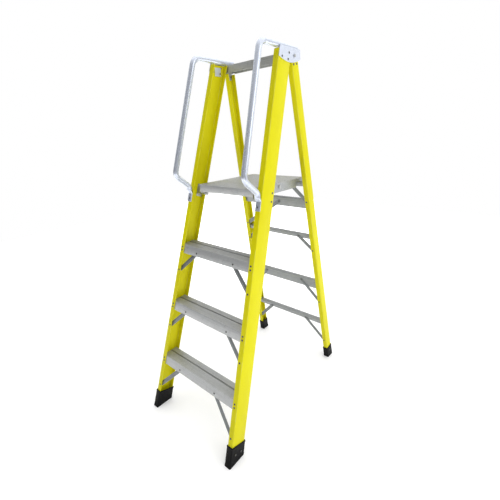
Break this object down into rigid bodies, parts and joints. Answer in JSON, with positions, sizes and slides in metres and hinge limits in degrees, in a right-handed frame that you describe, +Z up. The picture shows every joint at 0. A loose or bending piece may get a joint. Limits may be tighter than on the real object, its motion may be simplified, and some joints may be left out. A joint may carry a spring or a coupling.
{
  "type": "platform step ladder",
  "caption": "Folding stepladder with channel rails, ribbed treads, a hinged standing platform, hinged rear legs and tube handrails.",
  "frame": {"origin": "on the floor, at the middle of the footprint", "axes": "+Z up; +Y from the climbing side towards the rear legs; +X across the steps, towards the right hand of a person facing +Y"},
  "size_m": [0.6042, 1.0222, 1.778],
  "materials": {
    "yellow_fibreglass": "pultruded glass fibre, satin",
    "mill_aluminium": "mill finish, ribbed",
    "bright_aluminium": "bright brushed",
    "zinc_steel": "zinc plated",
    "black_rubber": "moulded matt"
  },
  "bodies": {
    "front_frame": {"front_rail_left": "yellow_fibreglass", "front_rail_right": "yellow_fibreglass", "step_1": "mill_aluminium", "step_2": "mill_aluminium", "step_3": "mill_aluminium", "step_brace_1_left": "bright_aluminium", "step_brace_1_right": "bright_aluminium", "step_brace_2_left": "bright_aluminium", "step_brace_2_right": "bright_aluminium", "step_brace_3_left": "bright_aluminium", "step_brace_3_right": "bright_aluminium", "step_rivets": "zinc_steel", "step_brace_rivets": "zinc_steel", "top_plate_left": "bright_aluminium", "top_plate_right": "bright_aluminium", "top_plate_rivets": "zinc_steel", "backing_plates": "bright_aluminium", "handrail_left": "bright_aluminium", "handrail_right": "bright_aluminium", "handrail_rivets": "zinc_steel", "platform_bracket_left": "bright_aluminium", "platform_bracket_right": "bright_aluminium", "platform_bracket_rivets": "zinc_steel", "platform_hinge_bolts": "zinc_steel", "front_boot_left": "black_rubber", "front_boot_right": "black_rubber", "front_boot_rivets": "zinc_steel"},
    "rear_frame": {"rear_leg_left": "yellow_fibreglass", "rear_leg_right": "yellow_fibreglass", "rear_rung_1": "mill_aluminium", "rear_rung_2": "mill_aluminium", "rear_rung_3": "mill_aluminium", "rear_rung_4": "mill_aluminium", "rear_rung_5": "mill_aluminium", "rear_brace_1_left": "bright_aluminium", "rear_brace_1_right": "bright_aluminium", "rear_brace_2_left": "bright_aluminium", "rear_brace_2_right": "bright_aluminium", "rear_brace_3_left": "bright_aluminium", "rear_brace_3_right": "bright_aluminium", "rear_brace_5_left": "bright_aluminium", "rear_brace_5_right": "bright_aluminium", "rear_diagonal": "bright_aluminium", "rear_rung_rivets": "zinc_steel", "rear_brace_rivets": "zinc_steel", "rear_hinge_left": "bright_aluminium", "rear_hinge_right": "bright_aluminium", "rear_hinge_rivets": "zinc_steel", "top_bar": "mill_aluminium", "pivot_bolts": "zinc_steel", "pivot_spacers": "zinc_steel", "rear_boot_left": "black_rubber", "rear_boot_right": "black_rubber", "rear_boot_rivets": "zinc_steel"},
    "platform": {"platform_deck": "mill_aluminium", "platform_skirt_left": "bright_aluminium", "platform_skirt_right": "bright_aluminium", "platform_tie_rod": "zinc_steel", "platform_rivets": "zinc_steel"}
  },
  "joints": [
    {"name": "rear_fold", "type": "hinge", "parent": "front_frame", "child": "rear_frame", "pos_m": [0, 0.16218, 1.733], "axis": [-1, 0, 0], "range_deg": [0, 26.5]},
    {"name": "platform_fold", "type": "hinge", "parent": "front_frame", "child": "platform", "pos_m": [0, -0.06982, 1.162], "axis": [1, 0, 0], "range_deg": [0, 72]}
  ],
  "couplings": [
    {"joint": "platform_fold", "follows": "rear_fold", "ratio": 2.7}
  ]
}
